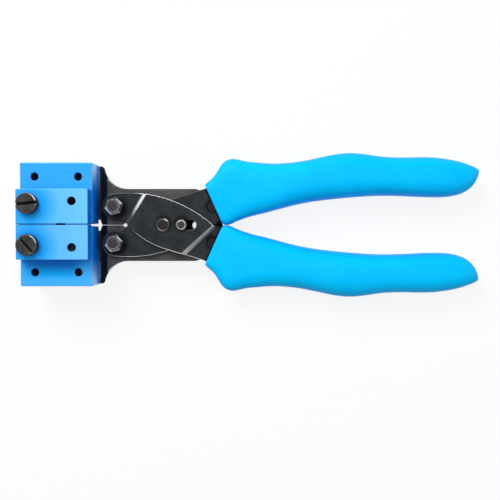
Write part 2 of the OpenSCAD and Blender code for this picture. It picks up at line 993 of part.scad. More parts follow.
lower_front_plate();
lower_back_plate();
lower_spacer();
lower_shank_rivets();
lower_grip();
pivot_rivet();
stop_pin();
upper_jaw_bolt();
upper_jaw_nut();
lower_guide_pin();
upper_front_plate();
upper_back_plate();
upper_spacer();
upper_shank_rivets();
upper_grip();
lower_jaw_bolt();
lower_jaw_nut();
upper_guide_pin();
upper_jaw();
upper_die_block();
upper_face_plate();
upper_clamp_screw();
upper_dowel();
upper_die_screws();
contact_punch();
strain_punch();
lower_jaw();
lower_die_block();
lower_face_plate();
lower_clamp_screw();
lower_dowel();
lower_die_screws();
plug_nest();
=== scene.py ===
"""Looks of a parallel-action crimping tool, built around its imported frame. Lengths are in metres."""
import json
import math

import bmesh
import bpy
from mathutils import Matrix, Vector


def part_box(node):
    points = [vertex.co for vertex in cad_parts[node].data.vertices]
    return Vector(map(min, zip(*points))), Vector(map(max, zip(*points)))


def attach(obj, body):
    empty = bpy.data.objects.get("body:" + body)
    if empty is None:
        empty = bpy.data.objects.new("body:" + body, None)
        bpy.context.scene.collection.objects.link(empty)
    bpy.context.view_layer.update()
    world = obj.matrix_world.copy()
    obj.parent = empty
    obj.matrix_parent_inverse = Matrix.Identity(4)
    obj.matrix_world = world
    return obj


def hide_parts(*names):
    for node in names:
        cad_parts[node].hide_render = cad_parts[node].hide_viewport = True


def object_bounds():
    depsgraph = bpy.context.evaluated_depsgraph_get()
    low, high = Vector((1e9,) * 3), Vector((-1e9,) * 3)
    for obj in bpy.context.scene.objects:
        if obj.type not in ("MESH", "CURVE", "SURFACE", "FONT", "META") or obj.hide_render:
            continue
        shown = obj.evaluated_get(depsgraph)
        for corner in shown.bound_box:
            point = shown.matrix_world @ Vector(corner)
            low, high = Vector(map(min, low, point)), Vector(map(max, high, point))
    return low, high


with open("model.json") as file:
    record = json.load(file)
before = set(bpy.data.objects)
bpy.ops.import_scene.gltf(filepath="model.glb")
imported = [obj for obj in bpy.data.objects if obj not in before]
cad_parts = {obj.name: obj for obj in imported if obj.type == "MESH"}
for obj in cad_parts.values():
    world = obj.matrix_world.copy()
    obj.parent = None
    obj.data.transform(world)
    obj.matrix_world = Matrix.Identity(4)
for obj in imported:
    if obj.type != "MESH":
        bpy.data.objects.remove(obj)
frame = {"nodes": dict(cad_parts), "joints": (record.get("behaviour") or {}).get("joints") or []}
CAD_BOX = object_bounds()
NODES = frame["nodes"]
MM = 0.001


# Places that follow the frame

def pair(suffix):
    """Names of the upper and the lower node of a kind."""
    return ["upper_" + suffix, "lower_" + suffix]


def middle(name):
    """Centre of a node's box."""
    return sum(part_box(name), Vector()) / 2


def shifted(place, x, y):
    """A place moved in plan by so many millimetres."""
    return place + Vector((x, y, 0)) * MM


PIVOT = Vector(next(j for j in frame["joints"] if j["name"] == "handle_pivot")["pos_m"])
MID_Z = PIVOT.z
GUIDE_LOW, GUIDE_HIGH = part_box("upper_guide_pin")
GUIDE_X = (GUIDE_LOW.x + GUIDE_HIGH.x) / 2
GUIDES = [middle(name) for name in pair("guide_pin")]
CROTCH = Vector((GUIDE_X + 4.2 * MM, PIVOT.y, 0))
STOP_PIN = middle("stop_pin")
CLAMPS = [middle(name) for name in pair("clamp_screw")]
NUTS = [middle(name) for name in pair("jaw_nut")]
NUT_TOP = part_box("upper_jaw_nut")[1].z
BLOCK_LOW, BLOCK_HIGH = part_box("upper_die_block")
BLOCK_FOOT = MID_Z - 0.5 * MM
FACE_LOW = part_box("lower_face_plate")[0]

# Front lever: the turn in plan that its rear bend looks to, where painted shade dulls the bend, and the
# line where the brighter strip of wear and painted highlight on the bend ends, which isn't quite parallel
# to the bend, so that the strip narrows
REAR_BEND_TURN = 313
BRIGHT_STRIP_WAY = Vector((0.716, -0.698, 0))
BRIGHT_STRIP_END = PIVOT.dot(BRIGHT_STRIP_WAY) + 18.6 * MM

# Mouth of the upper grip, which the lower one mirrors: its direction in plan, and its place along that
MOUTH_X = 0.913
MOUTH_Y = 0.408
MOUTH_PLACE = PIVOT.x * MOUTH_X + 26.9 * MM

# Camera: almost straight down on the flat side, with the photograph's distance and frame.
# Places are measured from the centre rivet.
CAMERA_PLACE = Vector((43.1, -5.55, 344)) * MM
CAMERA_AIM = Vector((43.1, -12.55, 6)) * MM
VIEW_WIDTH = 250 * MM
SENSOR = 36.0


# Node helpers

SLOPE_FADE_LOW = 0.1
SLOPE_FADE_HIGH = 0.06


def start_material(name):
    """A new material with its shader and node tree."""
    material = bpy.data.materials.new(name)
    material.use_nodes = True
    tree = material.node_tree
    shader = tree.nodes["Principled BSDF"]
    return material, tree, shader


def add_node(tree, kind, **settings):
    """A node with its settings; a setting named in_NAME or in_NUMBER sets an input socket."""
    node = tree.nodes.new(kind)
    for key, value in settings.items():
        if key.startswith("in_"):
            socket = key[3:]
            node.inputs[int(socket) if socket.isdigit() else socket].default_value = value
        else:
            setattr(node, key, value)
    return node


def object_place(tree, stretch=(1, 1, 1)):
    """Object coordinates in metres, stretched along the axes."""
    coords = add_node(tree, "ShaderNodeTexCoord")
    mapping = add_node(tree, "ShaderNodeMapping", in_Scale=stretch)
    tree.links.new(coords.outputs["Object"], mapping.inputs["Vector"])
    return mapping.outputs["Vector"]


def place_axes(tree):
    """Object coordinates along X, Y and Z."""
    split = add_node(tree, "ShaderNodeSeparateXYZ")
    tree.links.new(object_place(tree), split.inputs[0])
    return split.outputs


def noise(tree, scale, detail=3.0, rough=0.55, stretch=(1, 1, 1)):
    """Noise of that many cells per metre."""
    node = add_node(tree, "ShaderNodeTexNoise", in_Scale=scale, in_Detail=detail, in_Roughness=rough)
    tree.links.new(object_place(tree, stretch), node.inputs["Vector"])
    return node.outputs["Fac"]


def spread(tree, value, from_low, from_high, to_low, to_high):
    """A value mapped from one range to another, and held within it."""
    node = add_node(tree, "ShaderNodeMapRange", in_1=from_low, in_2=from_high, in_3=to_low, in_4=to_high)
    tree.links.new(value, node.inputs[0])
    return node.outputs[0]


def math_node(tree, operation, a, b):
    """Two values, or a value and a number, put together."""
    node = add_node(tree, "ShaderNodeMath", operation=operation)
    for index, item in enumerate((a, b)):
        if isinstance(item, (int, float)):
            node.inputs[index].default_value = item
        else:
            tree.links.new(item, node.inputs[index])
    return node.outputs[0]


def times(tree, value, *others):
    """The product of several values."""
    for other in others:
        value = math_node(tree, "MULTIPLY", value, other)
    return value


def most(tree, value, *others):
    """The largest of several values."""
    for other in others:
        value = math_node(tree, "MAXIMUM", value, other)
    return value


def unsigned(tree, value):
    """A value without its sign."""
    return math_node(tree, "ABSOLUTE", value, 0.0)


def weighed(tree, a, share_a, b, share_b):
    """The sum of two values, each times its share."""
    return math_node(tree, "ADD", times(tree, a, share_a), times(tree, b, share_b))


def mix_colour(tree, factor, low, high):
    """A blend of two colours, each a triple or a socket."""
    node = add_node(tree, "ShaderNodeMix", data_type="RGBA")
    tree.links.new(factor, node.inputs[0])
    for index, item in ((6, low), (7, high)):
        if isinstance(item, tuple):
            node.inputs[index].default_value = (*item, 1)
        else:
            tree.links.new(item, node.inputs[index])
    return node.outputs[2]


def bump(tree, shader, layers):
    """Stacked bumps; each layer is a height socket, its strength and its depth in metres."""
    below = None
    for height, strength, depth in layers:
        node = add_node(tree, "ShaderNodeBump", in_Strength=strength, in_Distance=depth)
        tree.links.new(height, node.inputs["Height"])
        if below is not None:
            tree.links.new(below, node.inputs["Normal"])
        below = node.outputs["Normal"]
    tree.links.new(below, shader.inputs["Normal"])


def normal_axes(tree):
    """The way a face looks, along X, Y and Z."""
    coords = add_node(tree, "ShaderNodeTexCoord")
    split = add_node(tree, "ShaderNodeSeparateXYZ")
    tree.links.new(coords.outputs["Normal"], split.inputs[0])
    return split.outputs


def flatness(tree):
    """1 on faces that lie flat, falling to 0 on upright ones."""
    return unsigned(tree, normal_axes(tree)["Z"])


def slope_mask(tree, low, high):
    """1 on faces that lean between flat and upright, such as bevels and ramps, and 0 elsewhere."""
    lean = flatness(tree)
    up = spread(tree, lean, low, low + SLOPE_FADE_LOW, 0, 1)
    down = spread(tree, lean, high - SLOPE_FADE_HIGH, high, 1, 0)
    return times(tree, up, down)


def facing(tree, turn, inner, outer):
    """1 on faces that look within inner degrees of a turn in plan, falling to 0 at outer degrees."""
    coords = add_node(tree, "ShaderNodeTexCoord")
    flat = add_node(tree, "ShaderNodeVectorMath", operation="MULTIPLY", in_1=(1, 1, 0))
    tree.links.new(coords.outputs["Normal"], flat.inputs[0])
    unit = add_node(tree, "ShaderNodeVectorMath", operation="NORMALIZE")
    tree.links.new(flat.outputs[0], unit.inputs[0])
    way = (math.cos(math.radians(turn)), math.sin(math.radians(turn)), 0)
    near = add_node(tree, "ShaderNodeVectorMath", operation="DOT_PRODUCT", in_1=way)
    tree.links.new(unit.outputs[0], near.inputs[0])
    limits = [math.cos(math.radians(angle)) for angle in (outer, inner)]
    return spread(tree, near.outputs["Value"], *limits, 0, 1)


def around(tree, place, inner, outer):
    """1 within inner metres of an upright line through a place, falling to 0 at outer."""
    node = add_node(tree, "ShaderNodeVectorMath", operation="DISTANCE", in_1=(place.x, place.y, 0))
    tree.links.new(object_place(tree, (1, 1, 0)), node.inputs[0])
    return spread(tree, node.outputs["Value"], inner, outer, 1, 0)


def openness(tree, reach):
    """1 on open faces, falling to 0 in corners, slots and holes within that reach."""
    return add_node(tree, "ShaderNodeAmbientOcclusion", samples=8, in_Distance=reach).outputs["AO"]


# Colours; a pair is the two ends of a blend

AZURE = (0.0, 0.48, 0.95), (0.0, 0.53, 0.98)
AZURE_SIDE_SHADE = (0.0, 0.36, 1.0)
AZURE_SPARKLE = (0.04, 0.66, 1.0)
BLOCK_BLUE = (0.018, 0.29, 0.78), (0.03, 0.33, 0.84)
LOWER_BLOCK_LIT_BLUE = (0.07, 0.42, 0.88)
PLATE_BLUE = (0.055, 0.37, 0.88), (0.13, 0.47, 0.92)
SCREW_SHADE = (0.0, 0.3, 0.78)
WORN_AND_LIT_BLUE = (0.35, 0.62, 0.95)
PARTING_BLUE = (0.0, 0.03, 0.14)
CORNER_SHADE_BLUE = (0.0, 0.15, 0.58)
HOLE_SHADE_BLUE = (0.0, 0.003, 0.03)
WALL_SHADE_BLUE = (0.0, 0.23, 1.0)
LOW_WALL_SHADE_BLUE = (0.01, 0.15, 0.85)
STREAK_REFLECTION_BLUE = (0.03, 0.45, 1.0)
WALL_END_REFLECTION_BLUE = (0.37, 0.7, 1.0)
FOOT_HIGHLIGHT_BLUE = (0.3, 0.5, 0.85)
SHADE_BLACK = (0.0015, 0.0015, 0.002)
JAW_SHADE_BLACK = (0.002, 0.007, 0.014)
PALE_SIDE_STEEL = (0.62, 0.6, 0.59)
LEVER_EDGE = (0.95, 0.97, 1.0), (0.92, 0.9, 0.89)
LEVER_TONES = (0.007, 0.009, 0.011), (0.024, 0.028, 0.033)
JAW_TONES = (0.045, 0.042, 0.043), (0.105, 0.1, 0.1)
BOLT_TONES = (0.01, 0.0105, 0.012), (0.034, 0.036, 0.04)
RIVET_TONES = (0.005, 0.004, 0.0035), (0.026, 0.02, 0.018)
GUIDE_TONES = (0.001, 0.002, 0.002), (0.02, 0.016, 0.016)
PIN_TONES = (0.006, 0.006, 0.006), (0.03, 0.03, 0.03)
SCREW_TONES = (0.005, 0.0047, 0.0043), (0.066, 0.062, 0.059)
DOWEL_TONES = (0.006, 0.0055, 0.005), (0.03, 0.03, 0.03)
GROUND_TONES = (0.36, 0.36, 0.37), (0.5, 0.5, 0.51)
GROUND_SHADE = (0.02, 0.02, 0.02)


# Vinyl of the grips

def vinyl():
    """Azure dipped vinyl: matt, with a fine grain whose specks are painted paler as sparkle highlights,
    and painted shade as a deeper blue down its sides.
    """
    material, tree, shader = start_material("grip_vinyl")
    cloud = spread(tree, noise(tree, 45, 2), 0.35, 0.65, 0, 1)
    colour = mix_colour(tree, cloud, *AZURE)
    # Painted shade: upright sides turn a deeper blue.
    side_shade = spread(tree, flatness(tree), 0.2, 0.8, 0.7, 0)
    colour = mix_colour(tree, side_shade, colour, AZURE_SIDE_SHADE)
    grain = noise(tree, 1100, 2, 0.6)
    # Grain specks, painted paler so that they also stand in for sparkle highlights.
    sparkle_specks = spread(tree, grain, 0.6, 0.75, 0, 0.35)
    colour = mix_colour(tree, sparkle_specks, colour, AZURE_SPARKLE)
    tree.links.new(colour, shader.inputs["Base Color"])
    tree.links.new(spread(tree, grain, 0.3, 0.7, 0.5, 0.36), shader.inputs["Roughness"])
    shader.inputs["Specular IOR Level"].default_value = 0.05
    bump(tree, shader, [(grain, 0.25, 0.08 * MM), (noise(tree, 420, 2), 0.1, 0.2 * MM)])
    return material


# Blue alloy of the die blocks

# Shade under the lower front plate: how far below the plate it ends and is full, in millimetres, and
# its colour
UNDER_SHADES = [(11, 7, (0.0, 0.4, 0.86)), (9.6, 2.2, (0.0, 0.13, 0.48))]


def block_blue(tree, x, y, lines):
    """Blue of the blocks' faces, with painted light making the lower block paler and painted shade under
    the lower front plate.
    """
    tone = spread(tree, lines, 0.3, 0.7, 0, 1)
    block = mix_colour(tree, tone, *BLOCK_BLUE)
    # Painted light: the lower block turns paler below its front plate.
    block = mix_colour(tree, spread(tree, y, -18 * MM, -14 * MM, 0.6, 0), block, LOWER_BLOCK_LIT_BLUE)
    below = spread(tree, y, FACE_LOW.y, FACE_LOW.y + 1 * MM, 1, 0)
    left = spread(tree, x, BLOCK_LOW.x, BLOCK_LOW.x + 9 * MM, 0.3, 1)
    right = spread(tree, x, BLOCK_HIGH.x - 10 * MM, BLOCK_HIGH.x - 3.5 * MM, 1, 0.2)
    under = times(tree, below, left, right)
    for far, near, shade in UNDER_SHADES:
        depth = spread(tree, y, FACE_LOW.y - far * MM, FACE_LOW.y - near * MM, 0, 0.98)
        block = mix_colour(tree, times(tree, under, depth), block, shade)
    return block


def plate_blue(tree, x):
    """Paler blue of the front plates, with a shade beside each screw."""
    across = spread(tree, x, BLOCK_LOW.x, BLOCK_HIGH.x, 0, 1)
    plate = mix_colour(tree, across, *PLATE_BLUE)
    for place in CLAMPS:
        beside = around(tree, shifted(place, 2, -1), 6.5 * MM, 13 * MM)
        plate = mix_colour(tree, times(tree, beside, 0.85), plate, SCREW_SHADE)
    return plate


def foot_highlight(tree, z):
    """1 along the lower edge of the block walls, where a highlight is painted."""
    return spread(tree, z, BLOCK_FOOT + 1.5 * MM, BLOCK_FOOT + 4 * MM, 0.85, 0)


def block_foot(tree):
    """Blue of the jaw tongues' ends, which lie flush in the block walls, with the walls' painted shade
    and the painted highlight along their foot.
    """
    return mix_colour(tree, foot_highlight(tree, place_axes(tree)["Z"]), LOW_WALL_SHADE_BLUE, FOOT_HIGHLIGHT_BLUE)


def wall_shade_and_reflections(tree, side, z):
    """Painted shade and reflections on the walls over the jaws: a deep blue for their shade, deeper
    towards the foot, painted pale reflections at their ends and by the parting line, and a painted
    highlight along the foot.
    """
    top = BLOCK_HIGH.z
    low = spread(tree, z, top - 14 * MM, top - 6 * MM, 0.35, 0)
    wall = mix_colour(tree, low, WALL_SHADE_BLUE, LOW_WALL_SHADE_BLUE)
    streak = times(tree, spread(tree, z, top - 3.5 * MM, top - 1 * MM, 0, 1),
                   spread(tree, z, top, top + 0.5 * MM, 1, 0),
                   spread(tree, side, 4 * MM, 11 * MM, 0.8, 0))
    wall = mix_colour(tree, streak, wall, STREAK_REFLECTION_BLUE)
    ends = times(tree, spread(tree, side, 17 * MM, 27 * MM, 0, 0.9),
                 spread(tree, z, top - 12.5 * MM, top - 7 * MM, 0, 1))
    wall = mix_colour(tree, ends, wall, WALL_END_REFLECTION_BLUE)
    return mix_colour(tree, foot_highlight(tree, z), wall, FOOT_HIGHLIGHT_BLUE)


def blue_alloy():
    """Satin blue die blocks with faint lines from machining; their front plates are paler."""
    material, tree, shader = start_material("die_blue")
    x, y, z = place_axes(tree)
    side = unsigned(tree, y)
    lines = noise(tree, 60, 4, 0.6, (4, 120, 120))
    raised = spread(tree, z, BLOCK_HIGH.z + 0.2 * MM, BLOCK_HIGH.z + 0.6 * MM, 0, 1)
    colour = mix_colour(tree, raised, block_blue(tree, x, y, lines), plate_blue(tree, x))
    # Wear and painted highlights: bevels turn a paler blue, though not along the parting line.
    wear_and_highlight = times(tree, slope_mask(tree, 0.15, 0.95), spread(tree, side, 0.3 * MM, 0.9 * MM, 0, 0.3))
    colour = mix_colour(tree, wear_and_highlight, colour, WORN_AND_LIT_BLUE)
    parting = spread(tree, side, 0.2 * MM, 0.55 * MM, 0.85, 0)
    colour = mix_colour(tree, parting, colour, PARTING_BLUE)
    space = openness(tree, 5 * MM)
    # Painted shade: corners and recesses turn a deeper blue, less on the upper block, as the lamps are
    # above.
    corners = times(tree, spread(tree, space, 0.5, 0.95, 0.85, 0),
                    spread(tree, y, -2 * MM, 14 * MM, 1, 0.3))
    colour = mix_colour(tree, corners, colour, CORNER_SHADE_BLUE)
    # Painted shade and reflections on the walls that face the jaws.
    walls = spread(tree, normal_axes(tree)["X"], 0.5, 0.9, 0, 0.95)
    colour = mix_colour(tree, walls, colour, wall_shade_and_reflections(tree, side, z))
    # Painted shade: holes and deep slots turn almost black, and rough.
    inside = spread(tree, space, 0.15, 0.45, 1, 0)
    colour = mix_colour(tree, times(tree, inside, 0.98), colour, HOLE_SHADE_BLUE)
    tree.links.new(colour, shader.inputs["Base Color"])
    rough = most(tree, spread(tree, lines, 0.3, 0.7, 0.28, 0.4), inside)
    tree.links.new(rough, shader.inputs["Roughness"])
    shader.inputs["Metallic"].default_value = 0.2
    shader.inputs["Specular IOR Level"].default_value = 0.1
    bump(tree, shader, [(lines, 0.06, 0.05 * MM), (noise(tree, 2600, 2), 0.05, 0.02 * MM)])
    return material


# Steel

def oxide_steel(name, tones, edge, rough, wear_and_highlight=1.0, grain=1500, gloss=0.1, metal=0.3, corner_shade=0.8,
                reach=1.5 * MM, shade_colour=SHADE_BLACK, pale_side=0.0, highlight_and_wear_at=None, shade_and_dirt_at=None, paint_at=None):
    """Oxide-finished steel: speckled, with painted shade in its corners, and bright where its edges have
    worn and where highlights are painted.

    The last three arguments add nodes that say where the wear and painted highlights show, where more
    painted shade and dirt lie, and where the blue of the die blocks runs on. Sides that look to the grips
    are paler by the given share.
    """
    material, tree, shader = start_material(name)
    speckle = noise(tree, grain, 3, 0.7)
    cloud = noise(tree, 140, 3, 0.6)
    tone = spread(tree, math_node(tree, "ADD", speckle, cloud), 0.8, 1.25, 0, 1)
    colour = mix_colour(tree, tone, *tones)
    # Wear and painted highlights: bevels and bends turn to the edge colour, where the given nodes allow.
    wear = spread(tree, noise(tree, 500, 3), 0.3, 0.55, 0.6 * wear_and_highlight, wear_and_highlight)
    mask = times(tree, slope_mask(tree, 0.12, 0.97), wear)
    if highlight_and_wear_at:
        mask = times(tree, mask, highlight_and_wear_at(tree))
    colour = mix_colour(tree, mask, colour, edge(tree) if callable(edge) else edge)
    # Upright sides that look to the grips turn paler by the given share.
    if pale_side:
        upright = spread(tree, flatness(tree), 0.2, 0.4, pale_side, 0)
        colour = mix_colour(tree, times(tree, upright, facing(tree, 0, 40, 75)), colour, PALE_SIDE_STEEL)
    # Painted shade: corners, slots and holes turn to the shade colour, as do the places the given nodes
    # mark.
    shade_and_dirt = spread(tree, openness(tree, reach), 0.35, 0.85, corner_shade, 0)
    if shade_and_dirt_at:
        shade_and_dirt = most(tree, shade_and_dirt, shade_and_dirt_at(tree))
    colour = mix_colour(tree, shade_and_dirt, colour, shade_colour)
    if paint_at:
        colour = mix_colour(tree, paint_at(tree), colour, block_foot(tree))
    tree.links.new(colour, shader.inputs["Base Color"])
    tree.links.new(times(tree, mask, metal), shader.inputs["Metallic"])
    shader.inputs["Specular IOR Level"].default_value = gloss
    polish = spread(tree, cloud, 0.3, 0.7, rough - 0.06, rough + 0.06)
    tree.links.new(most(tree, polish, shade_and_dirt), shader.inputs["Roughness"])
    bump(tree, shader, [(speckle, 0.15, 0.03 * MM), (noise(tree, 300, 3), 0.06, 0.08 * MM)])
    return material


def lever_edge(tree):
    """Bright steel of worn edges and painted highlights, warmer beside the grips to make up for their
    blue light.
    """
    beside = spread(tree, place_axes(tree)["X"], PIVOT.x, PIVOT.x + 10 * MM, 0, 1)
    return mix_colour(tree, beside, *LEVER_EDGE)


def rear_bend_shade(tree, place):
    """Painted shade: the front lever's rear bend is duller than its edges, and its brighter strip of wear
    and painted highlight narrows to the crotch.
    """
    across = weighed(tree, place["X"], BRIGHT_STRIP_WAY.x, place["Y"], BRIGHT_STRIP_WAY.y)
    share = spread(tree, across, BRIGHT_STRIP_END - 0.4 * MM, BRIGHT_STRIP_END + 0.3 * MM, 0.58, 0.16)
    loss = times(tree, facing(tree, REAR_BEND_TURN, 15, 30), math_node(tree, "SUBTRACT", 1.0, share))
    return math_node(tree, "SUBTRACT", 1.0, loss)


def guide_spots(tree):
    """1 around each guide pin."""
    return [around(tree, guide, 3.6 * MM, 4.6 * MM) for guide in GUIDES]


def front_lever_wear_and_highlights(tree):
    """The lever in front is worn, with painted highlights, along its outer edges and bends; painted shade
    dulls them at its front end, by the slot, in the crotch and round the guide pins.
    """
    place = place_axes(tree)
    behind = spread(tree, place["X"], PIVOT.x - 15.8 * MM, PIVOT.x - 11.5 * MM, 0.05, 1.2)
    above = spread(tree, place["Y"], PIVOT.y + 13 * MM, PIVOT.y + 15 * MM, 0, 0.2)
    wear_and_highlight = times(tree, most(tree, behind, above), rear_bend_shade(tree, place))
    slot = around(tree, shifted(STOP_PIN, 2.5, 0), 5.6 * MM, 7 * MM)
    crotch = around(tree, CROTCH, 2.7 * MM, 3.5 * MM)
    dull = most(tree, slot, crotch, *guide_spots(tree))
    return times(tree, wear_and_highlight, spread(tree, dull, 0, 1, 1, 0.12))


def other_lever_wear_and_highlights(tree):
    """The lever behind it is worn, with painted highlights, along its lower edge; painted shade dulls
    them at its front end and round the guide pins.
    """
    place = place_axes(tree)
    below = spread(tree, place["Y"], PIVOT.y - 14 * MM, PIVOT.y - 10 * MM, 1, 0.12)
    front = spread(tree, place["X"], PIVOT.x - 27 * MM, PIVOT.x - 22 * MM, 0.35, 1)
    dull = most(tree, *guide_spots(tree))
    return times(tree, below, front, spread(tree, dull, 0, 1, 1, 0.3))


def lever_shade_and_dirt(tree):
    """Painted shade with oil and dirt round the rivet, the pins and the nuts, set off like shadows, and
    painted shade in the crotch and along the grips' mouths.
    """
    spots = [around(tree, shifted(place, 0.5, 0.5), 3.6 * MM, 5.4 * MM) for place in (PIVOT, STOP_PIN)]
    spots += [around(tree, shifted(place, 0, 0.4), 3.2 * MM, 4.6 * MM) for place in GUIDES]
    spots += [around(tree, shifted(place, 1.8, -0.5), 4.2 * MM, 7.2 * MM) for place in NUTS]
    crotch = times(tree, around(tree, shifted(CROTCH, -0.2, 0.5), 1.6 * MM, 3 * MM), 1.3)
    place = place_axes(tree)
    back = weighed(tree, place["X"], MOUTH_X, unsigned(tree, place["Y"]), MOUTH_Y)
    mouth = spread(tree, back, MOUTH_PLACE - 1.3 * MM, MOUTH_PLACE - 0.5 * MM, 0, 1.2)
    return times(tree, most(tree, crotch, mouth, *spots), 0.75)


def jaw_painted_shade(tree):
    """Painted shade: the sunk band of the jaw flange and the toes at the crotch are black."""
    x = place_axes(tree)["X"]
    front = spread(tree, x, BLOCK_HIGH.x + 0.6 * MM, BLOCK_HIGH.x + 0.9 * MM, 0.3, 1)
    back = spread(tree, x, BLOCK_HIGH.x + 3.4 * MM, BLOCK_HIGH.x + 5 * MM, 0.95, 0)
    toes = spread(tree, x, GUIDE_X, GUIDE_X + 1 * MM, 0, 0.95)
    return most(tree, times(tree, front, back), toes)


def jaw_paint(tree):
    """The ends of the jaw tongues lie flush in the blue walls and are finished with them."""
    x = place_axes(tree)["X"]
    flush = spread(tree, x, BLOCK_HIGH.x + 0.05 * MM, BLOCK_HIGH.x + 0.1 * MM, 1, 0)
    return times(tree, flush, facing(tree, 0, 20, 40))


def nut_highlights_and_wear(tree):
    """Painted highlights on three sides of the nuts, and a bright ring all round their collars."""
    left = facing(tree, 222, 28, 45)
    below = spread(tree, facing(tree, 295, 12, 30), 0, 1, 0.05, 0.45)
    right = spread(tree, facing(tree, 40, 12, 30), 0, 1, 0.05, 0.6)
    collar = spread(tree, place_axes(tree)["Z"], NUT_TOP - 0.6 * MM, NUT_TOP - 0.4 * MM, 0, 0.6)
    return most(tree, left, below, right, collar)


def rivet_glint(tree):
    """Rivet rims have a painted glint on one side and are dull on the other."""
    glint = facing(tree, 55, 10, 26)
    dull = spread(tree, facing(tree, 258, 25, 60), 0, 1, 0.08, 0.4)
    return most(tree, glint, dull)


def screw_glint(tree):
    """Screw heads have a painted glint on one side of their rims, but not along their slots."""
    glint = spread(tree, facing(tree, 40, 14, 32), 0, 1, 0.1, 1)
    for place in CLAMPS:
        inside = around(tree, place, 4 * MM, 4.4 * MM)
        glint = times(tree, glint, spread(tree, inside, 0, 1, 1, 0.1))
    return glint


def dowel_glint(tree):
    """The dowel that shows in its hole has a painted highlight on one side of its rim."""
    return facing(tree, 240, 30, 55)


def ground_steel():
    """Bright ground tool steel for the punches and the nest."""
    material, tree, shader = start_material("tool_steel")
    lines = noise(tree, 90, 4, 0.6, (120, 6, 120))
    colour = mix_colour(tree, spread(tree, lines, 0.3, 0.7, 0, 1), *GROUND_TONES)
    # Painted shade: corners turn dark.
    corners = spread(tree, openness(tree, 2 * MM), 0.35, 0.85, 0.6, 0)
    colour = mix_colour(tree, corners, colour, GROUND_SHADE)
    tree.links.new(colour, shader.inputs["Base Color"])
    shader.inputs["Metallic"].default_value = 1
    tree.links.new(spread(tree, lines, 0.3, 0.7, 0.28, 0.4), shader.inputs["Roughness"])
    bump(tree, shader, [(lines, 0.08, 0.03 * MM)])
    return material


VINYL = vinyl()
BLUE = blue_alloy()
FRONT_LEVER = oxide_steel("lever_steel", LEVER_TONES, edge=lever_edge, rough=0.45,
                          highlight_and_wear_at=front_lever_wear_and_highlights, shade_and_dirt_at=lever_shade_and_dirt)
OTHER_LEVER = oxide_steel("other_lever_steel", LEVER_TONES, edge=lever_edge, rough=0.45,
                          highlight_and_wear_at=other_lever_wear_and_highlights, shade_and_dirt_at=lever_shade_and_dirt)
JAW = oxide_steel("jaw_steel", JAW_TONES, edge=(0.3, 0.29, 0.29), rough=0.46, wear_and_highlight=0.5, pale_side=0.8,
                  shade_colour=JAW_SHADE_BLACK, shade_and_dirt_at=jaw_painted_shade, paint_at=jaw_paint)
NUT = oxide_steel("nut_steel", BOLT_TONES, edge=(0.88, 0.88, 0.88), rough=0.35, gloss=0.2, metal=0.2,
                  highlight_and_wear_at=nut_highlights_and_wear)
BOLT = oxide_steel("bolt_steel", BOLT_TONES, edge=(0.5, 0.5, 0.5), rough=0.35, wear_and_highlight=0.25, gloss=0.2)
RIVET = oxide_steel("rivet_steel", RIVET_TONES, edge=(0.6, 0.57, 0.54), rough=0.4, highlight_and_wear_at=rivet_glint)
GUIDE = oxide_steel("guide_steel", GUIDE_TONES, edge=(0.05, 0.05, 0.05), rough=0.5, wear_and_highlight=0.2)
PIN = oxide_steel("pin_steel", PIN_TONES, edge=(0.7, 0.7, 0.7), rough=0.3, gloss=0.2, metal=0.8)
# Painted shade blackens the slots and the holes.
SCREW = oxide_steel("screw_steel", SCREW_TONES, edge=(0.75, 0.74, 0.73), rough=0.5, grain=2600, corner_shade=0.98,
                    reach=5 * MM, highlight_and_wear_at=screw_glint)
DOWEL = oxide_steel("dowel_steel", DOWEL_TONES, edge=(0.8, 0.88, 0.95), rough=0.4, corner_shade=0.3,
                    highlight_and_wear_at=dowel_glint)
STEEL = ground_steel()


# CAD nodes: materials, and real bevels on their edges

WELD_REACH = 0.02 * MM
FLAT_ANGLE = math.radians(0.4)
EDGE_ANGLE = math.radians(32)
EDGE_SEGMENTS = 2


def dress(names, material, width):
    """Give nodes a finish and round their sharp edges by that width in millimetres."""
    for name in names:
        obj = NODES[name]
        obj.data.materials.clear()
        obj.data.materials.append(material)
        weld = obj.modifiers.new("weld", "WELD")
        weld.merge_threshold = WELD_REACH
        flat = obj.modifiers.new("flat", "DECIMATE")
        flat.decimate_type = "DISSOLVE"
        flat.angle_limit = FLAT_ANGLE
        edge = obj.modifiers.new("edge", "BEVEL")
        edge.width = width * MM
        edge.segments = EDGE_SEGMENTS
        edge.limit_method = "ANGLE"
        edge.angle_limit = EDGE_ANGLE
        edge.harden_normals = True
        edge.use_clamp_overlap = False
        normals = obj.modifiers.new("normals", "WEIGHTED_NORMAL")
        normals.keep_sharp = True


dress(["lower_front_plate", "lower_back_plate"], FRONT_LEVER, 0.3)
dress(["upper_front_plate", "upper_back_plate"], OTHER_LEVER, 0.3)
dress(pair("spacer"), FRONT_LEVER, 0.2)
dress(pair("jaw"), JAW, 0.25)
dress(pair("die_block") + pair("face_plate"), BLUE, 0.3)
dress(pair("clamp_screw"), SCREW, 0.25)
dress(pair("die_screws") + ["upper_dowel"], SCREW, 0.15)
dress(["lower_dowel"], DOWEL, 0.5)
dress(pair("jaw_bolt"), BOLT, 0.15)
dress(pair("jaw_nut"), NUT, 0.2)
dress(pair("shank_rivets") + ["pivot_rivet"], RIVET, 0.2)
dress(pair("guide_pin"), GUIDE, 0.2)
dress(["stop_pin"], PIN, 0.4)
dress(["contact_punch", "strain_punch", "plug_nest"], STEEL, 0.1)


# Grips: one smooth closed skin each, with a rounded mouth around the lever plates

